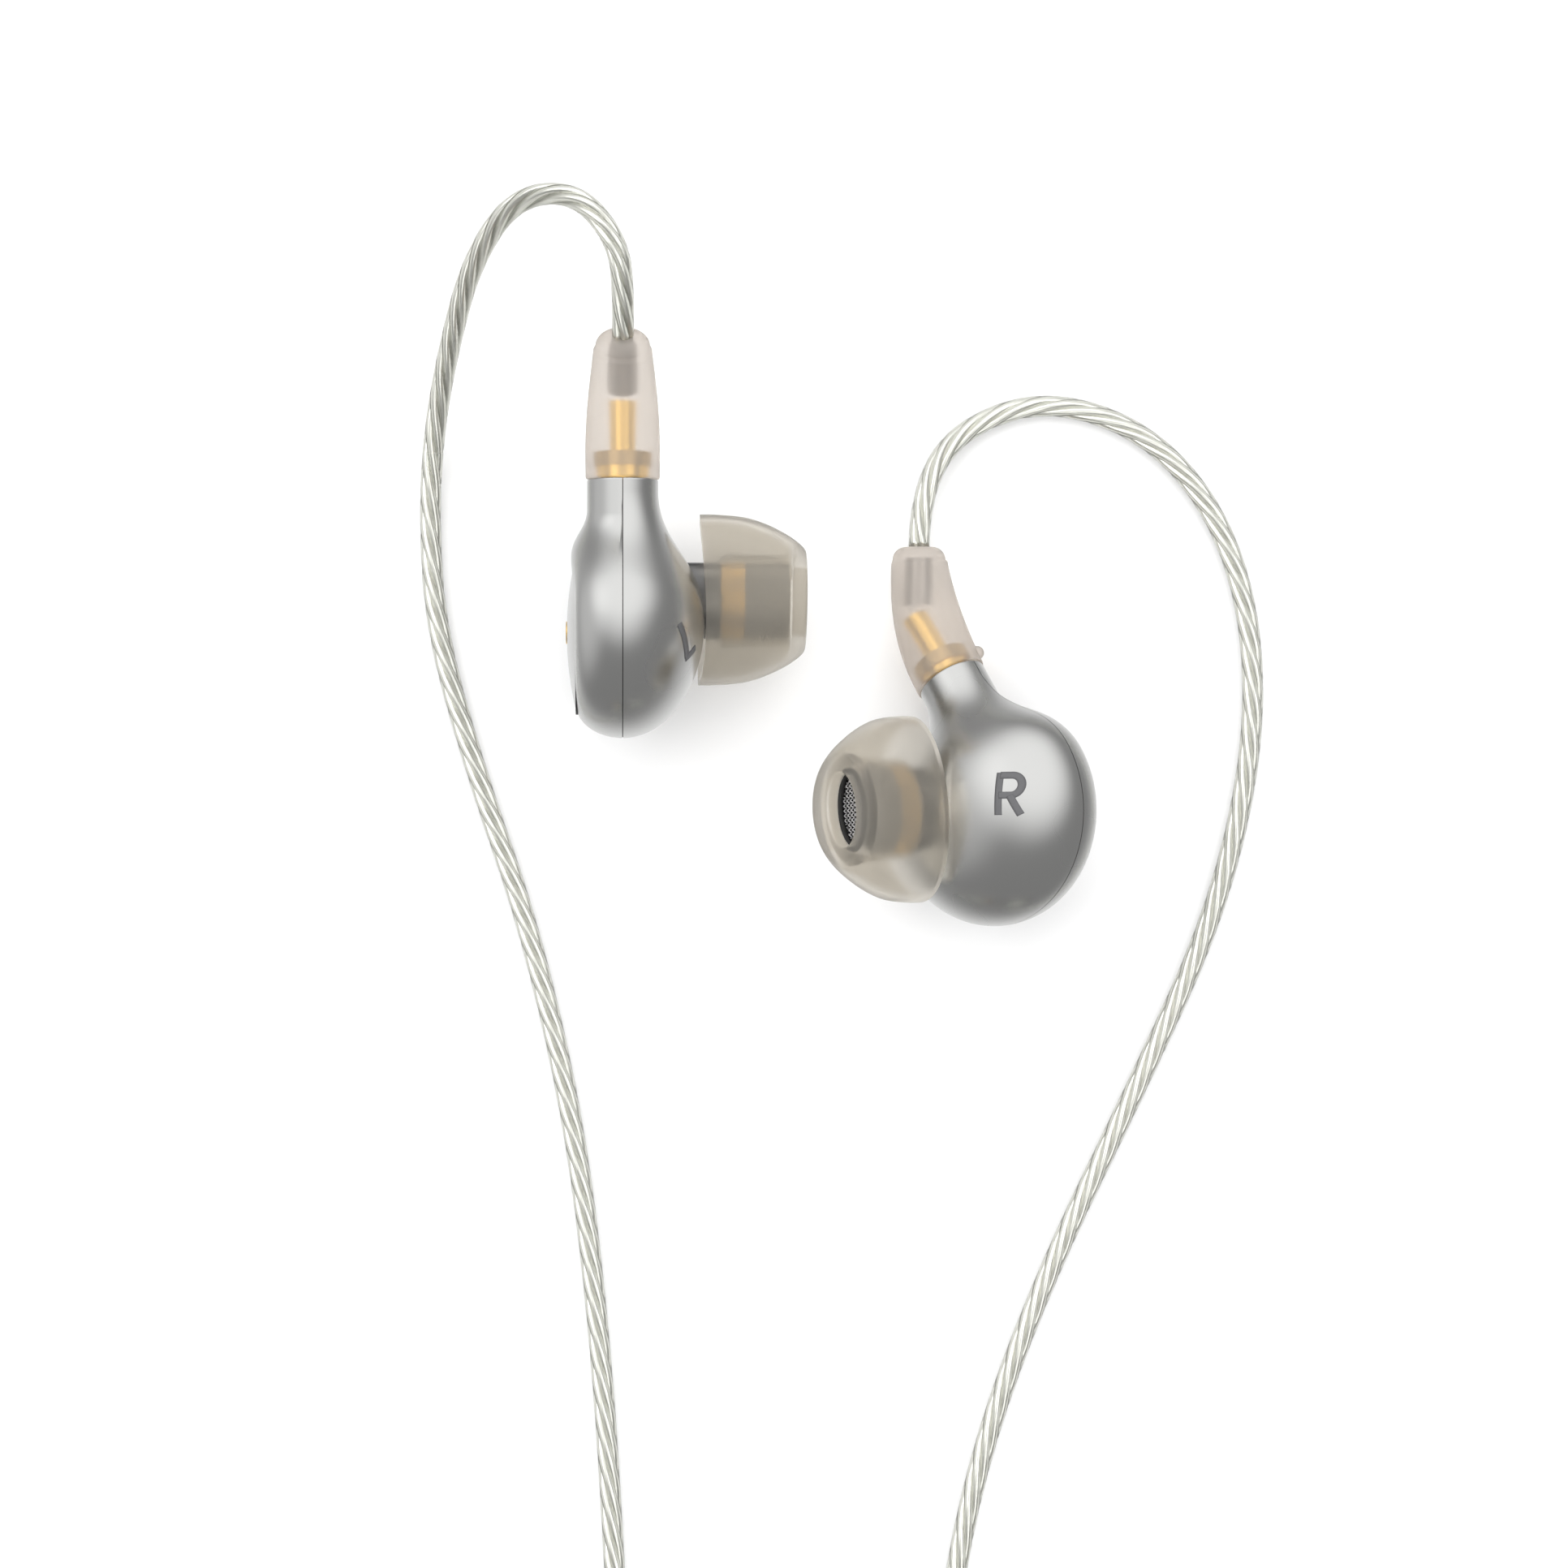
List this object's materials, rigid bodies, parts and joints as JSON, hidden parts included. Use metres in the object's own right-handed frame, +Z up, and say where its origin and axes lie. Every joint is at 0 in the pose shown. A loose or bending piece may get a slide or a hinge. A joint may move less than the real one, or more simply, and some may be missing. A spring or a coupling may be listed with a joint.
{
  "type": "in ear monitors",
  "caption": "Metal in ear monitors with oval silicone tips, frosted bent boots and a clear jacketed detachable cable, laid flat with the spare cable coiled.",
  "frame": {"origin": "on the table, under the centre of the two earpieces' box (boots included, free cable left out)", "axes": "+Z up from the table; +Y the way the left neck and boot point; +X from the left earpiece towards the right one"},
  "size_m": [0.0746, 0.1745, 0.0179],
  "materials": {
    "housing": "satin bead blasted stainless steel",
    "plate": "satin",
    "gold": "gold plated",
    "nozzle": "satin, dark",
    "mesh": "woven steel",
    "silicone": "frosted translucent silicone",
    "boot": "frosted translucent elastomer",
    "driver": "machined",
    "magnet": "nickel plated",
    "film": "thin moulded film",
    "insulator": "moulded",
    "spring": "spring steel",
    "collar": "moulded, dark",
    "crimp": "dull grey",
    "jacket": "clear jacket over silver strands",
    "main_jacket": "clear jacket over silver strands",
    "black": "fine moulded texture",
    "tie": "soft strap"
  },
  "bodies": {
    "harness": {"coil_ties": "tie", "main_cord_coil": "main_jacket", "main_cord_lead": "main_jacket", "main_cord_tail": "main_jacket", "plug_barrel": "black", "plug_relief": "black", "plug_ring": "gold", "plug_sleeve": "gold", "plug_spacers": "insulator", "plug_tip": "gold", "splitter": "black", "left_plug_shell": "gold", "left_plug_collar": "collar", "left_plug_insulator": "insulator", "left_plug_pin": "gold", "left_crimp_sleeve": "crimp", "left_boot": "boot", "left_branch_lead": "jacket", "left_branch_tail": "jacket", "left_branch_coil": "jacket", "right_plug_shell": "gold", "right_plug_collar": "collar", "right_plug_insulator": "insulator", "right_plug_pin": "gold", "right_crimp_sleeve": "crimp", "right_boot": "boot", "right_branch_lead": "jacket", "right_branch_tail": "jacket", "right_branch_coil": "jacket"},
    "chin_slider": {"chin_slider": "black"},
    "left_earpiece": {"left_inner_shell": "housing", "left_outer_shell": "housing", "left_face_plate": "plate", "left_face_inlay": "gold", "left_nozzle": "nozzle", "left_nozzle_ring": "gold", "left_nozzle_mesh": "mesh", "left_driver_basket": "driver", "left_driver_magnet": "magnet", "left_driver_diaphragm": "film", "left_jack_shell": "gold", "left_jack_insulator": "insulator"},
    "left_tip": {"left_ear_tip": "silicone"},
    "left_ring": {"left_snap_ring": "spring"},
    "right_earpiece": {"right_inner_shell": "housing", "right_outer_shell": "housing", "right_face_plate": "plate", "right_face_inlay": "gold", "right_nozzle": "nozzle", "right_nozzle_ring": "gold", "right_nozzle_mesh": "mesh", "right_driver_basket": "driver", "right_driver_magnet": "magnet", "right_driver_diaphragm": "film", "right_jack_shell": "gold", "right_jack_insulator": "insulator"},
    "right_tip": {"right_ear_tip": "silicone"},
    "right_ring": {"right_snap_ring": "spring"}
  },
  "joints": [
    {"name": "left_swivel", "type": "hinge", "parent": "harness", "child": "left_ring", "pos_m": [-0.01461, 0.00812, 0.01056], "axis": [0, 1, 0], "continuous": true},
    {"name": "left_unplug", "type": "slide", "parent": "left_ring", "child": "left_earpiece", "axis": [0, -1, 0], "range_m": [0, 0.0045]},
    {"name": "left_tip_pull", "type": "slide", "parent": "left_earpiece", "child": "left_tip", "axis": [0.9988, 0, -0.048], "range_m": [0, 0.005]},
    {"name": "right_swivel", "type": "hinge", "parent": "harness", "child": "right_ring", "pos_m": [0.00978, -0.00534, 0.00517], "axis": [-0.42, 0.8144, -0.4004], "continuous": true},
    {"name": "right_unplug", "type": "slide", "parent": "right_ring", "child": "right_earpiece", "axis": [0.42, -0.8144, 0.4004], "range_m": [0, 0.0045]},
    {"name": "right_tip_pull", "type": "slide", "parent": "right_earpiece", "child": "right_tip", "axis": [-0.69, 0, 0.7238], "range_m": [0, 0.002]},
    {"name": "chin_slide", "type": "slide", "parent": "harness", "child": "chin_slider", "axis": [0, 1, 0], "range_m": [0, 0.009]}
  ]
}
